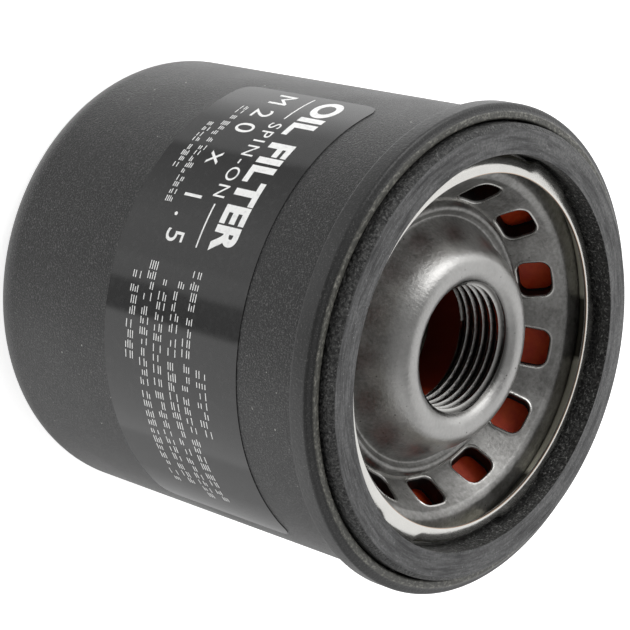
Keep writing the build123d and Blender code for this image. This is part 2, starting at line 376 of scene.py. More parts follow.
def powder_coat(name):
    """Black powder coat: fine orange-peel grain with scattered pale flecks."""
    s = Shader(name, Specular_IOR_Level=0.42)
    grain = s.noise(0.00028, 2.0, 0.65)
    fleck = s.noise(0.00020, 1.0, 0.4)
    cloud = s.noise(0.012, 3.0)
    chip = s.noise(0.00062, 1.0, 0.3)
    pale = s.remap(fleck, 0.52, 0.76, 0.0, 0.8)
    base = s.mix(cloud, (0.007, 0.007, 0.0072), (0.014, 0.014, 0.0142))
    base = s.mix(pale, base, (0.105, 0.105, 0.102))
    s.bump((grain, 0.00010), (fleck, 0.00003))
    return s.feed(
        Base_Color=s.mix(s.remap(chip, 0.79, 0.83), base, (0.30, 0.30, 0.28)),
        Roughness=s.remap(cloud, 0.3, 0.7, 0.33, 0.42),
    )


def gloss_film():
    """Black film: near mirror gloss with the faint waviness of a stuck-down label."""
    s = Shader("label_film", Specular_IOR_Level=0.5)
    wave = s.noise(0.009, 2.0)
    dust = s.noise(0.0009, 4.0, 0.6)
    s.bump((wave, 0.00002))
    return s.feed(
        Base_Color=s.mix(s.remap(dust, 0.5, 0.8), (0.017, 0.017, 0.017), (0.028, 0.028, 0.028)),
        Roughness=s.remap(dust, 0.35, 0.75, 0.05, 0.12),
    )


def printed_ink():
    """White ink, a little mottled."""
    s = Shader("label_ink", Specular_IOR_Level=0.5)
    speck = s.noise(0.0006, 3.0)
    return s.feed(
        Base_Color=s.mix(s.remap(speck, 0.5, 0.75), (0.82, 0.82, 0.81), (0.66, 0.66, 0.66)),
        Roughness=s.remap(speck, 0.3, 0.7, 0.28, 0.4),
    )


def lid_metal():
    """Bright tinplate inside the groove, black paint on the seam with a painted highlight on its crown, and
    painted shade in the pockets at the lugs.
    """
    s = Shader("lid_tinplate")
    ring, angle, radius, height = s.polar((0.02, 1.0, 1.0))
    streak = s.noise(0.00035, 3.0, 0.6, vector=ring)
    grain = s.noise(0.0004, 2.0, 0.6)
    fleck = s.noise(0.0002, 1.0, 0.4)
    ragged = s.noise(0.0011, 4.0, 0.65)
    edge = s.math("ADD", radius, s.math("MULTIPLY", s.math("SUBTRACT", ragged, 0.5), 0.0007))
    paint = s.remap(edge, PAINT_RADIUS * MM, (PAINT_RADIUS + 0.2) * MM)
    tone = s.noise(0.004, 3.0)
    bright = s.mix(tone, (0.66, 0.65, 0.62), (0.84, 0.83, 0.80))
    edgeward = s.remap(radius, (ROLL_RADIUS + 0.13) * MM, (ROLL_RADIUS + 0.01) * MM)
    upward = s.remap(height, (ROLL_TOP - 0.35) * MM, (ROLL_TOP - 0.10) * MM)
    rust = s.math("MULTIPLY", edgeward, upward)
    bright = s.mix(s.math("MULTIPLY", rust, 0.75), bright, (0.42, 0.20, 0.06))
    turn = s.math("MULTIPLY", s.math("SUBTRACT", angle, math.radians(LUG_ANGLE)), float(LUGS))
    beside = s.remap(s.math("COSINE", turn), math.cos(math.radians(66)), math.cos(math.radians(54)))
    low = s.remap(height, (ROLL_TOP - 0.75) * MM, (ROLL_TOP - 1.05) * MM)
    inner = s.remap(radius, (GROOVE_WALL + 0.35) * MM, (GROOVE_WALL + 0.15) * MM)
    wall = s.math("MULTIPLY", low, inner)
    bright = s.mix(wall, bright, (0.60, 0.585, 0.49))
    # The lower inner wall at each lug is darkened almost to black: painted shade in the pushed-out pockets.
    bright = s.mix(s.math("MULTIPLY", wall, beside), bright, (0.035, 0.033, 0.026))
    black = s.mix(s.noise(0.01, 2.0), (0.011, 0.011, 0.011), (0.020, 0.020, 0.020))
    black = s.mix(s.remap(fleck, 0.60, 0.74, 0.0, 0.6), black, (0.10, 0.10, 0.095))
    # The seam's crown is paler than the rest of the paint, a painted highlight; its pale streaks are partly
    # worn paint, partly painted highlight.
    crown = s.math("MULTIPLY", s.remap(height, 0.06812, 0.06834), s.remap(radius, 0.03462, 0.03440))
    black = s.mix(s.math("MULTIPLY", crown, 0.7), black, (0.110, 0.109, 0.095))
    crown_wear_and_highlight = s.math("MULTIPLY", crown, s.remap(streak, 0.50, 0.68, 0.0, 0.55))
    black = s.mix(crown_wear_and_highlight, black, (0.42, 0.41, 0.36))
    s.bump((streak, 0.000012), (s.math("MULTIPLY", grain, paint), 0.00007))
    return s.feed(
        Base_Color=s.mix(paint, bright, black),
        Metallic=s.math("SUBTRACT", 1.0, paint),
        Roughness=s.blend(
            paint,
            s.blend(wall, s.remap(tone, 0.3, 0.7, 0.17, 0.27), 0.5),
            s.remap(streak, 0.3, 0.7, 0.30, 0.40),
        ),
    )


def gasket_rubber():
    """Moulded rubber: finely streaked on the sealing face, with pale dusty streaks made stronger on one
    side as painted light; dark and pebbled on its walls, with pale specks as painted glints.
    """
    s = Shader("gasket_rubber", Specular_IOR_Level=0.45)
    ring, angle, radius, _ = s.polar((0.0035, 1.0, 1.0))
    streak = s.noise(0.00028, 4.0, 0.65, vector=ring)
    wide = s.noise(0.0010, 3.0, 0.5, vector=ring)
    pebble = s.noise(0.00042, 3.0, 0.6)
    blotch = s.noise(0.0045, 4.0, 0.6)
    speck = s.noise(0.00036, 2.0, 0.6)
    normal = s.add("ShaderNodeNewGeometry").outputs["Normal"]
    up = s.add("ShaderNodeSeparateXYZ")
    s.link(normal, up.inputs[0])
    top = s.remap(up.outputs[2], 0.86, 0.985)
    lines = s.math("MULTIPLY", s.math("ADD", streak, wide), 0.5)
    face = s.mix(s.remap(lines, 0.38, 0.62), (0.018, 0.018, 0.019), (0.150, 0.150, 0.152))
    face = s.mix(s.remap(blotch, 0.5, 0.75, 0.0, 0.25), face, (0.19, 0.19, 0.19))
    # Pale dusty streaks on the sealing face, made stronger towards one side (around 132 degrees) as painted
    # light.
    dust_and_painted_light = s.remap(s.math("COSINE", s.math("SUBTRACT", angle, 2.3)), -0.7, 1.0, 0.0, 0.38)
    face = s.mix(s.math("MULTIPLY", dust_and_painted_light, s.remap(wide, 0.35, 0.65)), face, (0.24, 0.24, 0.235))
    face = s.mix(s.remap(pebble, 0.44, 0.60, 0.0, 0.45), face, (0.030, 0.030, 0.031))
    face = s.mix(s.remap(speck, 0.64, 0.74, 0.0, 0.55), face, (0.36, 0.36, 0.355))
    wall = s.mix(s.remap(pebble, 0.42, 0.66), (0.005, 0.005, 0.005), (0.060, 0.060, 0.058))
    # Pale specks on the walls are painted glints off the pebbled rubber; past 31.2 mm they thin out, down
    # to 0.4 by 32 mm, as painted shade beside the seam.
    wall = s.mix(
        s.math("MULTIPLY", s.remap(speck, 0.56, 0.68, 0.0, 0.8), s.remap(radius, 0.0320, 0.0312, 0.4, 1.0)),
        wall, (0.26, 0.26, 0.25),
    )
    s.bump(
        (s.math("MULTIPLY", streak, top), 0.00007),
        (s.math("MULTIPLY", pebble, s.math("SUBTRACT", 1.0, top)), 0.00030),
    )
    return s.feed(
        Base_Color=s.mix(top, wall, face),
        Roughness=s.blend(top, 0.45, s.remap(lines, 0.3, 0.7, 0.38, 0.52)),
    )


def plate_steel():
    """Pressed and oiled steel: mottled grey, rubbed bright on the boss, with painted shade in the punched
    holes and the thread's roots, and bright inlet rims that are partly a painted highlight.
    """
    s = Shader("plate_steel", Metallic=1.0)
    ring, _, radius, height = s.polar((0.02, 1.0, 1.0))
    mottle = s.noise(0.0035, 5.0, 0.6)
    fine = s.noise(0.0005, 4.0, 0.6)
    drawn = s.noise(0.0006, 3.0, 0.6, vector=ring)
    pit = s.cells(0.0012)
    rubbed = s.remap(height, 0.0612, 0.0660, 0.0, 1.0, smooth=True)
    rubbed = s.math("MULTIPLY", rubbed, s.remap(radius, 0.0200, 0.0170))
    inside = s.remap(radius, (THREAD_MAJOR + 0.2) * MM, (THREAD_MAJOR - 0.2) * MM)
    grain = s.math("MULTIPLY", s.math("ADD", drawn, fine), 0.25)
    tone = s.math("ADD", s.math("MULTIPLY", mottle, 0.5), grain)
    base = s.mix(s.remap(tone, 0.38, 0.62), (0.20, 0.197, 0.19), (0.40, 0.395, 0.385))
    base = s.mix(s.math("MULTIPLY", rubbed, 0.6), base, (0.52, 0.515, 0.505))
    base = s.mix(inside, base, (0.46, 0.455, 0.44))
    # The roots of the thread are darkened almost to black: painted shade between the crests.
    deep = s.remap(radius, (THREAD_MINOR + 0.11) * MM, (THREAD_MINOR + 0.46) * MM)
    root = s.math("MULTIPLY", inside, deep)
    base = s.mix(s.math("MULTIPLY", root, 0.85), base, (0.05, 0.048, 0.045))
    spots = s.math("MULTIPLY", s.remap(pit, 0.14, 0.06), s.remap(mottle, 0.50, 0.58))
    base = s.mix(s.math("MULTIPLY", spots, 0.8), base, (0.05, 0.045, 0.04))
    out = s.math("SUBTRACT", radius, INLET_RADIUS * MM)
    rise = s.math("SUBTRACT", height, INLET_HEIGHT * MM)
    depth = s.math("SUBTRACT", s.math("MULTIPLY", out, SLOPE[1]), s.math("MULTIPLY", rise, SLOPE[0]))
    along = s.math("ADD", s.math("MULTIPLY", out, SLOPE[0]), s.math("MULTIPLY", rise, SLOPE[1]))
    # A bright rim round each inlet: partly burnished metal, partly a painted highlight.
    raised = s.math("MULTIPLY", s.remap(depth, -0.00001, -0.00005), s.remap(depth, -0.00040, -0.00030))
    rim = s.math("MULTIPLY", raised, s.remap(s.math("ABSOLUTE", along), 0.0033, 0.0030))
    base = s.mix(s.math("MULTIPLY", rim, 0.4), base, (0.80, 0.79, 0.76))
    # The punched walls of the inlets are darkened almost to black: painted shade inside the holes.
    through = s.remap(s.math("ABSOLUTE", along), 0.0031, 0.0028)
    punched = s.math("MULTIPLY", s.remap(depth, 0.00018, 0.00030), through)
    base = s.mix(s.math("MULTIPLY", punched, 0.93), base, (0.012, 0.011, 0.010))
    rough = s.blend(rubbed, s.remap(mottle, 0.3, 0.7, 0.42, 0.54), s.remap(mottle, 0.3, 0.7, 0.30, 0.40))
    s.bump((fine, 0.00004), (drawn, 0.00003), (mottle, 0.00006))
    return s.feed(
        Base_Color=base,
        Roughness=s.blend(inside, s.blend(punched, s.blend(rim, rough, 0.22), 0.6), 0.2),
    )


def silicone():
    """Orange-red silicone: satin, slightly translucent, with a fine bloom, and painted shade inside the
    neck except on one lit patch.
    """
    s = Shader("valve_silicone", Specular_IOR_Level=0.3, Subsurface_Weight=0.15, Subsurface_Scale=0.0006)
    s.bsdf.inputs["Subsurface Radius"].default_value = (1.0, 0.25, 0.1)
    _, angle, radius, _ = s.polar()
    bloom = s.noise(0.0016, 4.0, 0.6)
    grain = s.noise(0.0003, 2.0)
    s.bump((grain, 0.00002))
    red = s.mix(s.remap(bloom, 0.35, 0.7), (0.72, 0.052, 0.010), (0.86, 0.10, 0.020))
    # Inside the neck the red is darkened almost to black as painted shade, except a patch near bearing 0
    # that is left lit as painted light.
    painted_lit_patch = s.remap(s.math("COSINE", angle), math.cos(math.radians(48)), math.cos(math.radians(20)))
    painted_neck_shade = s.math("MULTIPLY", s.remap(radius, 0.0112, 0.0106), s.math("SUBTRACT", 1.0, painted_lit_patch))
    return s.feed(
        Base_Color=s.mix(s.math("MULTIPLY", painted_neck_shade, 0.92), red, (0.045, 0.004, 0.002)),
        Roughness=s.remap(bloom, 0.3, 0.7, 0.38, 0.52),
    )


def sheet_steel(name, dark, light, rough=(0.25, 0.4)):
    """Plated sheet: fine rolled grain and soft cloudy variation."""
    s = Shader(name, Metallic=1.0)
    ring, _, _, _ = s.polar((0.03, 1.0, 1.0))
    grain = s.noise(0.0004, 3.0, 0.6, vector=ring)
    cloud = s.noise(0.005, 4.0)
    s.bump((grain, 0.00001), (cloud, 0.00003))
    return s.feed(
        Base_Color=s.mix(s.remap(cloud, 0.3, 0.7), dark, light),
        Roughness=s.remap(grain, 0.3, 0.7, *rough),
    )


def filter_paper():
    s = Shader("filter_paper")
    fibre = s.noise(0.0003, 5.0, 0.7)
    crepe = s.noise(0.0014, 3.0)
    s.bump((fibre, 0.00005), (crepe, 0.0001))
    return s.feed(
        Base_Color=s.mix(s.remap(fibre, 0.3, 0.7), (0.60, 0.47, 0.22), (0.80, 0.68, 0.40)),
        Roughness=s.remap(crepe, 0.3, 0.7, 0.75, 0.95),
    )


def potting():
    s = Shader("plastisol")
    flow = s.noise(0.003, 3.0)
    s.bump((flow, 0.0002))
    return s.feed(
        Base_Color=s.mix(flow, (0.55, 0.50, 0.38), (0.72, 0.68, 0.56)),
        Roughness=s.remap(flow, 0.3, 0.7, 0.35, 0.55),
    )


def plain_rubber(name, dark, light):
    s = Shader(name)
    grain = s.noise(0.0005, 3.0)
    s.bump((grain, 0.00005))
    return s.feed(Base_Color=s.mix(grain, dark, light), Roughness=s.remap(grain, 0.3, 0.7, 0.5, 0.7))


# ---- Can ----

def can_outline():
    """Closed end with a shallow recess, elliptical shoulder, wall, and the hook inside the seam."""
    inner = CAN_RADIUS - SHEET
    hook_inner = CAN_FLANGE_RADIUS - SHEET
    centre = (CAN_RADIUS - SHOULDER[0], SHOULDER[1])
    land = RECESS_RADIUS + 2.4
    end_outside = rounded(
        [(0, RECESS_DEPTH, 0), (RECESS_RADIUS, RECESS_DEPTH, 1.6), (land, 0, 2.4), (centre[0], 0, 0)],
        closed=False,
    )
    shoulder_outside = ellipse_corner(centre, SHOULDER, 270)
    hook = rounded(
        [
            (CAN_RADIUS, SHOULDER[1], 0),
            (CAN_RADIUS, CAN_FLANGE_TOP - SHEET, 0.25),
            (hook_inner, CAN_FLANGE_TOP - SHEET, 0.25),
            (hook_inner, SEAM_BOTTOM + SHEET + 0.5, 0),
            (CAN_FLANGE_RADIUS, SEAM_BOTTOM + SHEET + 0.5, 0),
            (CAN_FLANGE_RADIUS, CAN_FLANGE_TOP, 0.5),
            (inner, CAN_FLANGE_TOP, 0.4),
            (inner, SHOULDER[1], 0),
        ],
        closed=False,
    )
    shoulder_inside = ellipse_corner(centre, (SHOULDER[0] - SHEET, SHOULDER[1] - SHEET), 270)[::-1]
    end_inside = rounded(
        [
            (centre[0], SHEET, 0),
            (land, SHEET, 2.0),
            (RECESS_RADIUS, RECESS_DEPTH + SHEET, 2.0),
            (0, RECESS_DEPTH + SHEET, 0),
        ],
        closed=False,
    )
    return end_outside + shoulder_outside[1:] + hook[1:] + shoulder_inside[1:] + end_inside[1:]


# ---- Lid ----

def lid_outline():
    """Rolled lip, groove, chuck wall, seaming panel and cover hook, as one folded sheet."""
    chuck = CAN_RADIUS - SHEET - 0.05
    cover = CAN_FLANGE_RADIUS - SHEET - 0.13
    lip_outside = spline([
        (ROLL_RADIUS, ROLL_TOP - 0.06),
        (26.15, ROLL_TOP - 0.02),
        (26.95, ROLL_TOP - 0.20),
        (27.70, ROLL_TOP - 0.66),
        (28.08, ROLL_TOP - 1.30),
        (GROOVE_WALL, ROLL_TOP - 2.05),
    ])
    folds = rounded(
        [
            (GROOVE_WALL, ROLL_TOP - 2.05, 0),
            (GROOVE_WALL, GROOVE_FLOOR, 0.35),
            (chuck - SHEET, GROOVE_FLOOR, 0.35),
            (chuck - SHEET, SEAM_TOP, 0.40),
            (34.35, SEAM_TOP, 0.30),
            (34.80, SEAM_TOP - 0.32, 0.40),
            (SEAM_RADIUS, SEAM_TOP - 0.62, 0.75),
            (SEAM_RADIUS, SEAM_BOTTOM, 0.45),
            (cover - SHEET, SEAM_BOTTOM, 0.35),
            (cover - SHEET, CAN_FLANGE_TOP - SHEET - 0.25, 0.1),
            (cover, CAN_FLANGE_TOP - SHEET - 0.25, 0.1),
            (cover, SEAM_BOTTOM + SHEET, 0.15),
            (SEAM_RADIUS - SHEET, SEAM_BOTTOM + SHEET, 0.15),
            (SEAM_RADIUS - SHEET, SEAM_TOP - SHEET, 0.75),
            (chuck, SEAM_TOP - SHEET, 0.2),
            (chuck, GROOVE_FLOOR - SHEET, 0.6),
            (GROOVE_WALL - SHEET, GROOVE_FLOOR - SHEET, 0.6),
            (GROOVE_WALL - SHEET, ROLL_TOP - 2.05, 0),
        ],
        closed=False,
    )
    lip_inside = spline([
        (GROOVE_WALL - SHEET, ROLL_TOP - 2.05),
        (27.69, ROLL_TOP - 1.40),
        (27.38, ROLL_TOP - 0.92),
        (26.78, ROLL_TOP - 0.58),
        (26.10, ROLL_TOP - 0.42),
        (ROLL_RADIUS, ROLL_TOP - 0.44),
    ])
    return lip_outside[:-1] + folds + lip_inside[1:]


def from_lug(angles):
    """Degrees to the middle of the nearest lug."""
    return np.abs((np.degrees(angles) - LUG_ANGLE + 180 / LUGS) % (360 / LUGS) - 180 / LUGS)


def lug_shape(radius, height, angles):
    """Pushes the lip's wall outwards at each lug, and bends the lip's free edge a little out of true."""
    beside = 1 - smoothstep(LUG_HALF - 2.5, LUG_HALF + 2.0, from_lug(angles))
    tall = smoothstep(GROOVE_FLOOR + 0.35, GROOVE_FLOOR + 1.1, height)
    tall = tall * (1 - 0.15 * smoothstep(ROLL_TOP - 1.0, ROLL_TOP - 0.1, height))
    near = smoothstep(26.2, 27.2, radius) * (radius < 30)
    push = LUG_REACH * beside * tall * near
    mouth = smoothstep(27.2, 26.0, radius) * (radius < 30)
    pulled = 0.42 * mouth * smoothstep(0.35, 0.9, -np.sin(angles))
    waver = 0.03 * np.sin(3 * angles + 0.7) * mouth
    return radius + push + pulled, height + waver


# ---- Gasket ----

def gasket_outline():
    """Square-cut section with its sides divided, so that the lugs can dent it."""
    steps = 14
    rise = GASKET_TOP - GROOVE_FLOOR
    inner = [(GASKET_INNER, GASKET_TOP - 0.15 - (rise - 0.3) * k / steps) for k in range(steps + 1)]
    rest = rounded(
        [
            (GASKET_INNER, GROOVE_FLOOR + 0.15, 0),
            (GASKET_INNER, GROOVE_FLOOR, 0.12),
            (GASKET_RADIUS, GROOVE_FLOOR, 0.15),
            (GASKET_RADIUS, GASKET_TOP - 0.60, 0.45),
            (GASKET_RADIUS - 0.68, GASKET_TOP, 0.45),
            (GASKET_INNER, GASKET_TOP, 0.14),
            (GASKET_INNER, GASKET_TOP - 0.15, 0),
        ],
        closed=False,
    )
    return inner + rest[1:-1]


def gasket_dents(radius, height, angles):
    """Pushes the foot of the gasket's inner wall outwards where a lug presses on it."""
    beside = 1 - smoothstep(LUG_HALF - 1.0, LUG_HALF + 3.5, from_lug(angles))
    tall = smoothstep(GROOVE_FLOOR + 0.2, GROOVE_FLOOR + 1.2, height)
    tall = tall * (1 - smoothstep(GROOVE_FLOOR + 2.0, GROOVE_FLOOR + 3.4, height))
    dent = 0.45 * beside * tall * (radius < GASKET_INNER + 0.05)
    return radius + dent, height


# ---- Base plate ----

SEGMENTS_PER_INLET = 24
PLATE_TURNS = INLETS * SEGMENTS_PER_INLET
CONE_LOW = -2.90
CONE_HIGH = 3.35
CONE_ROWS = 16


def cone_point(along, depth=0.0):
    """Radius and height of a point on the dished wall, along the slope from the inlets' centres."""
    return (
        INLET_RADIUS + along * SLOPE[0] + depth * SLOPE[1],
        INLET_HEIGHT + along * SLOPE[1] - depth * SLOPE[0],
    )


def boss_outline():
    """Plate's upper face from the thread's mouth down to the foot of the dished wall."""
    crown = spline([
        (THREAD_MOUTH, THREAD_MOUTH_HEIGHT),
        (10.35, THREAD_MOUTH_HEIGHT + 0.52),
        (11.1, BOSS_TOP - 0.18),
        (12.0, BOSS_TOP - 0.02),
        (13.0, BOSS_TOP - 0.26),
        (13.9, BOSS_TOP - 0.90),
        (14.7, BOSS_TOP - 1.85),
        (15.5, BOSS_TOP - 3.05),
        (16.2, BOSS_TOP - 4.4),
        (16.85, BOSS_TOP - 5.75),
        (17.5, BOSS_TOP - 6.85),
        (18.15, 58.88),
        (18.65, 59.12),
        (19.05, 59.52),
        (19.45, 59.62),
        (19.85, 59.42),
        (20.15, 59.05),
        (20.4, 58.75),
    ], steps=5)
    return crown + [cone_point(CONE_LOW)]


def flange_outline():
    """From the top of the dished wall, over the flange and back along the underside."""
    top = cone_point(CONE_HIGH)
    plate_top = GROOVE_FLOOR - SHEET
    plate_bottom = plate_top - PLATE_THICKNESS
    flat_start = 27.2
    return spline([
        top,
        (top[0] + 0.32, top[1] + 0.42),
        (25.15, plate_top - 0.08),
        (25.9, plate_top),
        (flat_start, plate_top),
    ], steps=4) + rounded(
        [
            (flat_start, plate_top, 0),
            (PLATE_RADIUS, plate_top, 0.3),
            (PLATE_RADIUS, plate_bottom, 0.4),
            (26.4, plate_bottom, 0.3),
            (*cone_point(CONE_HIGH - 0.6, PLATE_THICKNESS), 0),
        ],
        closed=False,
    )[1:]


def underside_outline():
    """Underside from the foot of the dished wall back to the bottom of the threaded neck."""
    foot, neck = 56.3, 11.9
    return rounded(
        [
            (*cone_point(CONE_LOW + 0.35, PLATE_THICKNESS), 0),
            (22.1, foot, 0.6),
            (16.6, foot, 1.5),
            (14.4, 58.0, 1.5),
            (13.1, 60.8, 1.5),
            (12.45, 62.3, 0.25),
            (neck, 61.9, 0.25),
            (neck, NECK_BOTTOM, 0.3),
            (THREAD_HEEL, NECK_BOTTOM, 0),
        ],
        closed=False,
    )


def inlet_edge(angle):
    """Distance from an inlet's centre to its rounded-square edge, at an angle in its own plane."""
    c, s = abs(math.cos(angle)), abs(math.sin(angle))
    wide, long, corner = INLET_HALF_WIDTH, INLET_HALF_LENGTH, INLET_CORNER
    if c * (long - corner) >= s * wide:
        return wide / c
    if s * (wide - corner) >= c * long:
        return long / s
    cx, cy = wide - corner, long - corner
    along = c * cx + s * cy
    return along + math.sqrt(max(0.0, along * along - cx * cx - cy * cy + corner * corner))


# Rings round an inlet, from the bottom of its wall to the dished face: distance past the edge, and height
INLET_RIM = [
    (0.10, -PLATE_THICKNESS),
    (0.03, -PLATE_THICKNESS + 0.7),
    (0.0, -0.75),
    (0.02, -0.36),
    (0.07, -0.10),
    (0.17, 0.05),
    (0.30, 0.11),
    (0.43, 0.07),
    (0.55, 0.0),
]
# How far the rings past the rim have gone towards the patch's border
PATCH_SHARES = (0.15, 0.34, 0.56, 0.78, 1.0)


def inlet_patch(index, under):
    """The plate round one inlet, above or below, as rings of points from the hole's edge outwards."""
    half = math.pi / INLETS
    centre = math.radians(INLET_ANGLE) + index * TAU / INLETS
    low, high = (CONE_LOW + 0.35, CONE_HIGH - 0.6) if under else (CONE_LOW, CONE_HIGH)
    depth = PLATE_THICKNESS if under else 0.0
    rings = [(0.10, 0.0), (0.35, 0.0)] if under else INLET_RIM
    across_shares = [k / SEGMENTS_PER_INLET for k in range(SEGMENTS_PER_INLET)]
    along_shares = [k / CONE_ROWS for k in range(CONE_ROWS)]
    border = [(-half + 2 * half * share, low) for share in across_shares]
    border += [(half, low + (high - low) * share) for share in along_shares]
    border += [(half - 2 * half * share, high) for share in across_shares]
    border += [(-half, high - (high - low) * share) for share in along_shares]
    flat = [(cone_point(along, depth)[0] * turn, along) for turn, along in border]
    rows = []
    for past, lift in rings:
        row = []
        for across, along in flat:
            angle = math.atan2(along, across)
            reach = inlet_edge(angle) + past
            row.append((reach * math.cos(angle), reach * math.sin(angle), lift))
        rows.append(row)
    last = rows[-1]
    for share in PATCH_SHARES:
        rows.append([
            (a[0] + (b[0] - a[0]) * share, a[1] + (b[1] - a[1]) * share, 0.0)
            for a, b in zip(last, flat)
        ])
    points = []
    for row in rows:
        for across, along, lift in row:
            turn = centre + across / cone_point(along, depth)[0]
            radius, height = cone_point(along, depth - lift)
            points.append((radius * math.cos(turn), radius * math.sin(turn), height))
    return points, len(border), len(rows)


def plate_mesh():
    """The whole base plate: turned stretches, pierced patches and the threaded bore."""
    points, faces = [], []

    def put(new_points, new_faces):
        start = len(points)
        points.extend(new_points)
        faces.extend(tuple(start + v for v in face) for face in new_faces)

    turn_zero = math.radians(INLET_ANGLE) - math.pi / INLETS

    def shifted(outline):
        grid = turned_points(outline, PLATE_TURNS)
        c, s = math.cos(turn_zero), math.sin(turn_zero)
        x, y = grid[:, 0] * c - grid[:, 1] * s, grid[:, 0] * s + grid[:, 1] * c
        return np.stack([x, y, grid[:, 2]], axis=1).tolist()

    for outline in (boss_outline(), flange_outline(), underside_outline()):
        put(shifted(outline), turned_faces(len(outline), PLATE_TURNS, False))
    for index in range(INLETS):
        for under in (False, True):
            ring_points, around, rows = inlet_patch(index, under)
            put(ring_points, ring_faces(around, rows))
    put(*threaded_bore(turn_zero))
    return points, faces


def thread_radius(phase):
    """Radius of an internal M-profile thread at a phase of its pitch."""
    phase = phase % 1.0
    crest, flank = 0.24, 0.31
    if phase < crest:
        return THREAD_MINOR
    if phase < crest + flank:
        return THREAD_MINOR + (THREAD_MAJOR - THREAD_MINOR) * (phase - crest) / flank
    if phase < 1 - flank:
        return THREAD_MAJOR
    return THREAD_MAJOR - (THREAD_MAJOR - THREAD_MINOR) * (phase - 1 + flank) / flank


def threaded_bore(turn_zero):
    """Right-handed M20 x 1.5 helix from the mouth's chamfer to the neck's bottom edge."""
    # Phases of the pitch with a row of points: close together where the flanks meet crest and root
    marks = (0.0, 0.03, 0.12, 0.21, 0.24, 0.395, 0.55, 0.58, 0.62, 0.66, 0.69, 0.845)
    top, bottom = THREAD_MOUTH_HEIGHT, NECK_BOTTOM
    turns = int((top - bottom) / THREAD_PITCH) + 3
    rows = turns * len(marks) + 2
    points = []
    for k in range(PLATE_TURNS):
        turn = TAU * k / PLATE_TURNS
        lead = THREAD_PITCH * k / PLATE_TURNS
        heights = [bottom]
        for number in range(turns):
            for mark in marks:
                heights.append(bottom + (number - 1 + mark) * THREAD_PITCH + lead)
        heights.append(top)
        for raw in heights:
            height = min(max(raw, bottom), top)
            phase = (height - bottom - lead) / THREAD_PITCH
            radius = thread_radius(phase)
            mouth = THREAD_MOUTH - (top - height) * 0.95
            heel = THREAD_HEEL - (height - bottom) * 1.2
            radius = max(radius, mouth, heel)
            if raw >= top:
                radius = THREAD_MOUTH
            if raw <= bottom:
                radius = THREAD_HEEL
            angle = turn_zero + turn
            points.append((radius * math.cos(angle), radius * math.sin(angle), height))
    faces = []
    for i in range(PLATE_TURNS - 1):
        a, b = i * rows, (i + 1) * rows
        for j in range(rows - 1):
            faces.append((a + j, a + j + 1, b + j + 1, b + j))
    last, marks_count = (PLATE_TURNS - 1) * rows, len(marks)
    for j in range(rows - 1):
        a0, a1 = j, j + 1
        b0, b1 = j - marks_count, j + 1 - marks_count
        if 0 < a0 and a1 < rows - 1:
            b0, b1 = max(b0, 0), max(b1, 0)
            faces.append((last + b0, last + b1, a1, a0))
    top_rows = range(rows - 1 - marks_count, rows - 1)
    for j in top_rows:
        faces.append((last + j, last + j + 1, rows - 1, rows - 1))
    faces = [f for f in (tuple(dict.fromkeys(face)) for face in faces) if len(f) > 2]
    return points, faces


# ---- Anti-drain-back valve ----

def valve_outline():
    """One moulding: neck, clamped hub, and the cone that seals outside the inlets."""
    bore, neck, foot, seat = 10.2, 12.4, 53.1, 55.85
    return rounded([
        (bore, VALVE_NECK_BOTTOM, 0.3),
        (neck, VALVE_NECK_BOTTOM, 0.3),
        (neck, foot, 0.1),
        (15.0, foot, 0.3),
        (15.6, 54.8, 0.6),
        (22.9, 54.85, 1.2),
        (27.9, 59.8, 1.2),
        (LIP_RADIUS, LIP_TOP - 0.5, 0.2),
        (28.3, LIP_TOP, 0.15),
        (27.2, 60.6, 1.2),
        (22.4, seat, 1.2),
        (12.9, seat, 0.5),
        (12.0, NECK_BOTTOM - 0.02, 0.2),
        (bore, NECK_BOTTOM - 0.02, 0.3),
    ])


# ---- Label ----

def label_film_mesh():
    """Film wrapped round the can, with rounded corners and a thickness."""
    columns, rows = 260, 24
    length = math.radians(LABEL_WRAP) * CAN_RADIUS
    height = LABEL_TOP - LABEL_BOTTOM
    corner = LABEL_CORNER
    points, faces = [], []
    for layer in (CAN_RADIUS + 0.004, LABEL_RADIUS):
        for i in range(columns + 1):
            along = length * i / columns
            short = max(0.0, corner - min(along, length - along))
            trim = corner - math.sqrt(corner ** 2 - short ** 2)
            turn = math.radians(LABEL_START) + along / CAN_RADIUS
            for j in range(rows + 1):
                z = LABEL_BOTTOM + trim + (height - 2 * trim) * j / rows
                points.append((layer * math.cos(turn), layer * math.sin(turn), z))
    size = (columns + 1) * (rows + 1)

    def at(layer, i, j):
        return layer * size + i * (rows + 1) + j

    for i in range(columns):
        for j in range(rows):
            faces.append((at(0, i, j), at(0, i, j + 1), at(0, i + 1, j + 1), at(0, i + 1, j)))
            faces.append((at(1, i, j), at(1, i + 1, j), at(1, i + 1, j + 1), at(1, i, j + 1)))
        for j in (0, rows):
            faces.append((at(0, i, j), at(0, i + 1, j), at(1, i + 1, j), at(1, i, j)))
    for i in (0, columns):
        for j in range(rows):
            faces.append((at(0, i, j), at(1, i, j), at(1, i, j + 1), at(0, i, j + 1)))
    return points, faces


# The ink's gap to the film, its thickness and the width of the strips it is bent in
PRINT_LIFT = 0.004
PRINT_DEPTH = 0.012
PRINT_STEP = 0.6


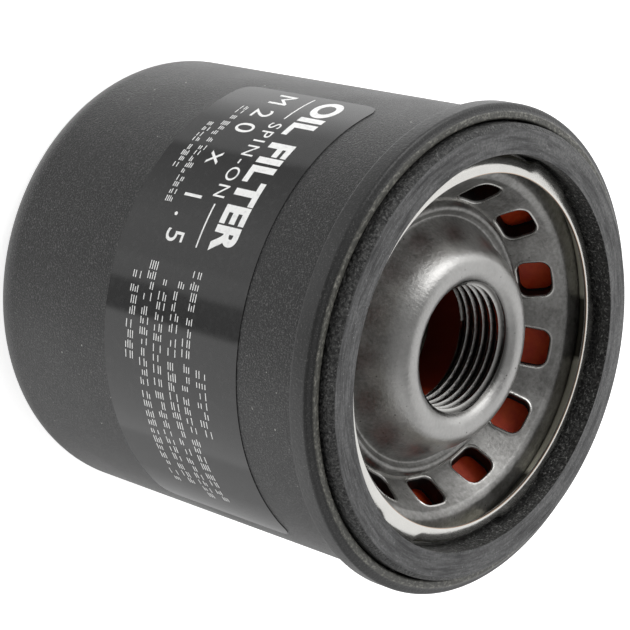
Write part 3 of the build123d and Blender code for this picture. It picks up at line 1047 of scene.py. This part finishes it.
def lettering(body, left, right, low, high, weight=0.0, spacing=1.0):
    """Plain letters stretched to fill a box on the unrolled label, as flat points and faces."""
    curve = bpy.data.curves.new("lettering", "FONT")
    curve.body = body
    curve.offset = weight
    curve.space_character = spacing
    holder = bpy.data.objects.new("lettering", curve)
    flat = bpy.data.meshes.new_from_object(holder)
    points = np.array([v.co[:2] for v in flat.vertices])
    faces = [tuple(p.vertices) for p in flat.polygons]
    for block, item in ((bpy.data.objects, holder), (bpy.data.curves, curve), (bpy.data.meshes, flat)):
        block.remove(item)
    lowest, highest = points.min(axis=0), points.max(axis=0)
    points = (points - lowest) / (highest - lowest) * (right - left, high - low) + (left, low)
    return points.tolist(), faces


def bar(left, right, low, high):
    return [(left, low), (right, low), (right, high), (left, high)], [(0, 1, 2, 3)]


def fine_print(dice, left, right, low, high, cell=1.5):
    """A line of small stacked dashes where fine print would be; they form no letters."""
    stroke = 0.16
    shapes = []
    start = left
    while start < right - 0.8 * cell:
        wide = cell * dice.uniform(0.64, 0.84)
        for level in dice.sample((0.0, 0.29, 0.58, 0.87), dice.choice((2, 3, 3, 4))):
            inset = wide * dice.choice((0.0, 0.0, 0.25))
            base = low + level * (high - low)
            shapes.append(bar(start + inset, start + wide, base, base + stroke))
        start += cell * dice.choice((1.0, 1.0, 1.0, 1.0, 1.35))
    return shapes


def label_print():
    """The label's layout on its unrolled face: millimetres from its left and bottom edges."""
    dice = random.Random(20)
    rule = 0.26
    shapes = [
        lettering("OIL FILTER", 1.3, 31.8, 17.2, 22.0, weight=0.042, spacing=1.04),
        bar(1.3, 7.9, 14.85, 14.85 + rule),
        lettering("SPIN-ON", 9.2, 24.0, 13.75, 16.0, spacing=1.25),
        bar(25.1, 31.8, 14.85, 14.85 + rule),
        lettering("M20 x 1.5", 1.5, 31.8, 8.5, 12.0, spacing=1.6),
    ]
    for left, right, low, high in ((6.5, 26.3, 5.5, 6.8), (11.5, 21.3, 3.2, 4.4)):
        shapes += fine_print(dice, left, right, low, high, cell=1.15)
    for left, right, low, high in (
        (48.4, 59.3, 19.0, 20.9),
        (35.0, 73.0, 16.1, 17.7),
        (36.9, 74.0, 13.3, 14.9),
        (36.9, 71.3, 10.3, 11.9),
        (35.0, 71.9, 7.4, 9.0),
        (36.9, 50.3, 4.5, 6.1),
    ):
        shapes += fine_print(dice, left, right, low, high)
    return shapes


def ink_mesh(name, shapes, material):
    """Wraps flat shapes round the label as a thin raised layer of ink."""
    work = bmesh.new()
    for points, faces in shapes:
        verts = [work.verts.new((x, y, 0)) for x, y in points]
        for face in faces:
            work.faces.new([verts[k] for k in face])
    bmesh.ops.remove_doubles(work, verts=work.verts, dist=1e-5)
    widest = max(v.co.x for v in work.verts)
    for k in range(1, int(widest / PRINT_STEP) + 1):
        everything = work.verts[:] + work.edges[:] + work.faces[:]
        bmesh.ops.bisect_plane(work, geom=everything, plane_co=(k * PRINT_STEP, 0, 0), plane_no=(1, 0, 0))
    for face in work.faces:
        if face.normal.z < 0:
            face.normal_flip()
    top = bmesh.ops.extrude_face_region(work, geom=work.faces[:], use_keep_orig=True)["geom"]
    for item in top:
        if isinstance(item, bmesh.types.BMVert):
            item.co.z += PRINT_DEPTH
    bmesh.ops.recalc_face_normals(work, faces=work.faces)
    for v in work.verts:
        turn = math.radians(LABEL_START) + v.co.x / LABEL_RADIUS
        radius = LABEL_RADIUS + PRINT_LIFT + v.co.z
        v.co = Vector((radius * math.cos(turn), radius * math.sin(turn), LABEL_BOTTOM + v.co.y)) * MM
    mesh = bpy.data.meshes.new(name)
    work.to_mesh(mesh)
    work.free()
    return shown(name, mesh, material)


# ---- Pieces ----

can = turned("can_shell", can_outline(), powder_coat("can_paint"), turns=360, sharp=50)
place(can, "housing", "can", slot="can_paint")

lid = turned("seamed_lid", lid_outline(), lid_metal(), turns=720, warp=lug_shape, sharp=50)
place(lid, "housing", "gasket_retainer", slot="lid_tinplate")

gasket = turned("sealing_gasket", gasket_outline(), gasket_rubber(), turns=480, warp=gasket_dents, sharp=40)
place(gasket, "housing", "gasket", slot="gasket_rubber")

plate = mesh_piece("threaded_plate", *plate_mesh(), plate_steel(), sharp=40)
place(plate, "housing", "base_plate", slot="plate_steel")

valve = turned("drainback_valve", valve_outline(), silicone(), turns=240)
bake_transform(valve)
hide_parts("drainback_valve_hub", "drainback_valve_lip")

film = mesh_piece("label_film", *label_film_mesh(), gloss_film(), sharp=60)
place(film, "housing", "label", slot="label_film")
place(ink_mesh("label_ink", label_print(), printed_ink()), "housing", slot="label_film")


# ---- Springs ----

def coil(name, radius, wire, turns, low, high, material, around=14, per_turn=48):
    """A round-wire compression spring with its end coils closed up."""
    play = 0.03
    bottom, travel = low + wire / 2 + play, high - low - wire - 2 * play
    count = int(turns * per_turn)
    points = []
    for i in range(count + 1):
        share = i / count
        turn = TAU * turns * share
        rise = travel * (share - 0.8 * math.sin(TAU * share) / TAU)
        taper = min(1.0, 0.55 + 0.45 * min(i, count - i) / 3)
        for k in range(around):
            section = TAU * k / around
            reach = radius + wire / 2 * taper * math.cos(section)
            points.append((
                reach * math.cos(turn),
                reach * math.sin(turn),
                bottom + rise + wire / 2 * taper * math.sin(section),
            ))
    faces = ring_faces(around, count + 1)
    faces.append(tuple(range(around)))
    faces.append(tuple(count * around + k for k in reversed(range(around))))
    return mesh_piece(name, points, faces, material, sharp=50)


def sprung(node, body, material, wire, turns):
    """Replaces a spring's CAD node by a coil on the given body."""
    low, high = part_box(node)
    bottom, top = low.z / MM, high.z / MM
    piece = coil(node.replace("spring", "coil"), high.x / MM - wire / 2, wire, turns, bottom, top, material)
    place(piece, body, node, slot="spring_steel")
    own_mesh(piece)


spring_steel = sheet_steel("spring_steel", (0.10, 0.10, 0.11), (0.20, 0.20, 0.21), rough=(0.3, 0.45))
sprung(
    "element_spring", "housing", spring_steel,
    wire=2.0, turns=4.0,
)
sprung(
    "bypass_spring", "element", spring_steel,
    wire=0.9, turns=5.6,
)


# ---- CAD nodes that keep their shape ----

cap_steel = sheet_steel("cap_steel", (0.42, 0.41, 0.38), (0.62, 0.61, 0.58))
valve_steel = sheet_steel("valve_steel", (0.45, 0.43, 0.36), (0.66, 0.64, 0.56))
clip_steel = sheet_steel("clip_steel", (0.5, 0.5, 0.5), (0.7, 0.7, 0.7))
kept = {
    "seam_compound": plain_rubber("seam_sealant", (0.28, 0.26, 0.22), (0.4, 0.38, 0.33)),
    "element_top_cap": cap_steel,
    "element_bottom_cap": cap_steel,
    "top_cap_adhesive": potting(),
    "bottom_cap_adhesive": potting(),
    "pleated_media": filter_paper(),
    "media_seam_clip": clip_steel,
    "center_tube": sheet_steel("tube_steel", (0.40, 0.40, 0.39), (0.58, 0.58, 0.57)),
    "bypass_cage": valve_steel,
    "bypass_seat_seal": plain_rubber("seal_rubber", (0.015, 0.015, 0.015), (0.04, 0.04, 0.04)),
    "bypass_poppet": valve_steel,
    "bypass_stem_clip": clip_steel,
}
for node, material in kept.items():
    mesh = frame["nodes"][node].data
    mesh.materials.clear()
    mesh.materials.append(material)


# ---- Stage ----

# Low panels of the studio: bearing in degrees from +X, and brightness
LOW_PANELS = (
    (-180, 0.85), (-162, 0.90), (-157, 0.42), (-140, 0.60), (-115, 1.00), (-95, 1.00), (-92, 1.15),
    (-82, 1.05), (-79, 0.45), (-65, 0.38), (-62, 1.35), (2, 1.30), (6, 0.95), (30, 0.62), (50, 0.66),
    (70, 0.85), (100, 0.95), (125, 1.15), (160, 1.50), (180, 0.85),
)
# Brightness above the low panels, where no high panel shines
DARK_ROOM = 0.33
# High panels: direction, half angles in degrees of the whole panel and of its full part, and brightness
HIGH_PANELS = (
    ((0.0, 0.93, 0.36), 72, 44, 0.62),
    ((-0.86, -0.12, 0.50), 30, 9, 2.80),
    ((-0.85, 0.45, 0.15), 40, 15, 0.55),
    ((0.90, -0.20, 0.36), 36, 14, 0.50),
)


def floor():
    """Pale floor, a hair below the can so that the two never share a plane."""
    size, gap = 1.6, 0.0002
    mesh = bpy.data.meshes.new("floor")
    corners = [(-size, -size), (size, -size), (size, size), (-size, size)]
    mesh.from_pydata([(x, y, -gap) for x, y in corners], [], [(0, 1, 2, 3)])
    s = Shader("floor", Roughness=0.9)
    s.bsdf.inputs["Base Color"].default_value = (0.9, 0.9, 0.9, 1)
    s.bsdf.inputs["Emission Color"].default_value = (1, 1, 1, 1)
    s.bsdf.inputs["Emission Strength"].default_value = 0.75
    piece = shown("floor", mesh, s.material)
    piece.visible_glossy = False


def studio_world():
    """Pale room for the camera; for everything else a studio whose panels the gloss picks up."""
    world = bpy.data.worlds.new("studio")
    bpy.context.scene.world = world
    world.use_nodes = True
    studio = Nodes(world.node_tree)
    studio.tree.nodes.clear()
    direction = studio.add("ShaderNodeTexCoord").outputs["Generated"]
    split = studio.add("ShaderNodeSeparateXYZ")
    studio.link(direction, split.inputs[0])

    bearing = studio.math("ARCTAN2", split.outputs[1], split.outputs[0])
    share = studio.math("ADD", studio.math("DIVIDE", bearing, TAU), 0.5)
    ramp = studio.add("ShaderNodeValToRGB")
    studio.link(share, ramp.inputs[0])
    for k, (degrees, level) in enumerate(LOW_PANELS):
        position = (degrees + 180) / 360
        if k in (0, len(LOW_PANELS) - 1):
            element = ramp.color_ramp.elements[0 if k == 0 else -1]
            element.position = position
        else:
            element = ramp.color_ramp.elements.new(position)
        element.color = (level, level, level, 1)

    upper = DARK_ROOM
    for axis, wide, narrow, level in HIGH_PANELS:
        dot = studio.add("ShaderNodeVectorMath", operation="DOT_PRODUCT")
        studio.link(direction, dot.inputs[0])
        dot.inputs[1].default_value = Vector(axis).normalized()
        rim, full = (math.cos(math.radians(half)) for half in (wide, narrow))
        spot = studio.remap(dot.outputs["Value"], rim, full, smooth=True)
        upper = studio.math("ADD", studio.math("MULTIPLY", spot, level), upper)

    above = studio.remap(split.outputs[2], -0.10, 0.06, smooth=True)
    seen = studio.add("ShaderNodeBackground")
    seen.inputs["Color"].default_value = (1, 1, 1, 1)
    lit = studio.add("ShaderNodeBackground")
    studio.link(studio.mix(above, ramp.outputs["Color"], upper), lit.inputs["Color"])
    choose = studio.add("ShaderNodeMixShader")
    studio.link(studio.add("ShaderNodeLightPath").outputs["Is Camera Ray"], choose.inputs[0])
    studio.link(lit.outputs[0], choose.inputs[1])
    studio.link(seen.outputs[0], choose.inputs[2])
    studio.link(choose.outputs[0], studio.add("ShaderNodeOutputWorld").inputs[0])


def camera():
    """The photo's camera, fitted to the outlines in it: its lens, its axes and its place."""
    data = bpy.data.cameras.new("camera")
    data.lens = 122.06
    data.sensor_width = 36.0
    data.clip_start = 0.01
    eye = bpy.data.objects.new("camera", data)
    right = Vector((-0.25901, 0.63601, 0.72691))
    up = Vector((-0.96587, -0.17055, -0.19493))
    back = -Vector((0.0, 0.75259, -0.65848))
    turn = Matrix((right, up, back)).transposed()
    eye.matrix_world = Matrix.Translation(Vector((0.86, -243.9, 249.8)) * MM) @ turn.to_4x4()
    bpy.context.scene.collection.objects.link(eye)
    bpy.context.scene.camera = eye


floor()
studio_world()
camera()
bpy.context.scene.view_settings.view_transform = "Standard"
